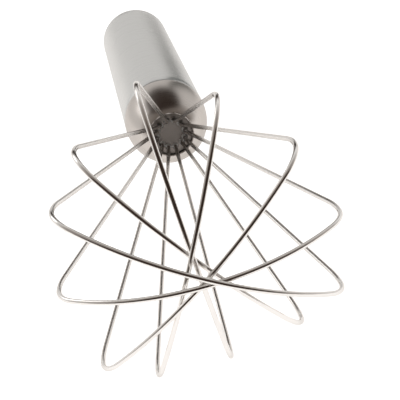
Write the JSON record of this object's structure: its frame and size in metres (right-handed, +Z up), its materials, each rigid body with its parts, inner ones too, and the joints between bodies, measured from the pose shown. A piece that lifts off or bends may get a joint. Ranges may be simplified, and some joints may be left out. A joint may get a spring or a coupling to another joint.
{
  "type": "balloon whisk",
  "caption": "Balloon whisk with a round head of sprung wire loops, a hollow steel handle with a rounded nose, and a loose hanging ring.",
  "frame": {"origin": "middle of the underside of the bounding box, on the surface that the whisk lies on", "axes": "+Z up, +Y along the handle towards its hanging ring, -Y towards the crown of the wires; the whisk's own axis rises by 3.3 degrees towards the crown"},
  "size_m": [0.0726, 0.2778, 0.0723],
  "materials": {
    "wire": "polished stainless spring wire",
    "handle": "satin stainless sheet",
    "nose": "fine satin stainless sheet",
    "fittings": "plain stainless",
    "ring": "polished stainless",
    "resin": "cast food-safe filling"
  },
  "bodies": {
    "whisk": {"wire_loop_1": "wire", "wire_loop_2": "wire", "wire_loop_3": "wire", "wire_loop_4": "wire", "wire_loop_5": "wire", "wire_loop_6": "wire", "wire_plate": "fittings", "core_pin": "fittings", "clamp_sleeve": "fittings", "potting_resin": "resin", "handle_nose": "nose", "handle_tube": "handle", "rear_cap": "handle", "hanging_eye": "fittings", "eye_washer": "fittings"},
    "ring": {"hanging_ring": "ring"}
  },
  "joints": [
    {"name": "ring_swing", "type": "hinge", "parent": "whisk", "child": "ring", "pos_m": [0.0041, 0.12036, 0.01307], "axis": [1, 0, 0], "range_deg": [-78, 141]}
  ]
}
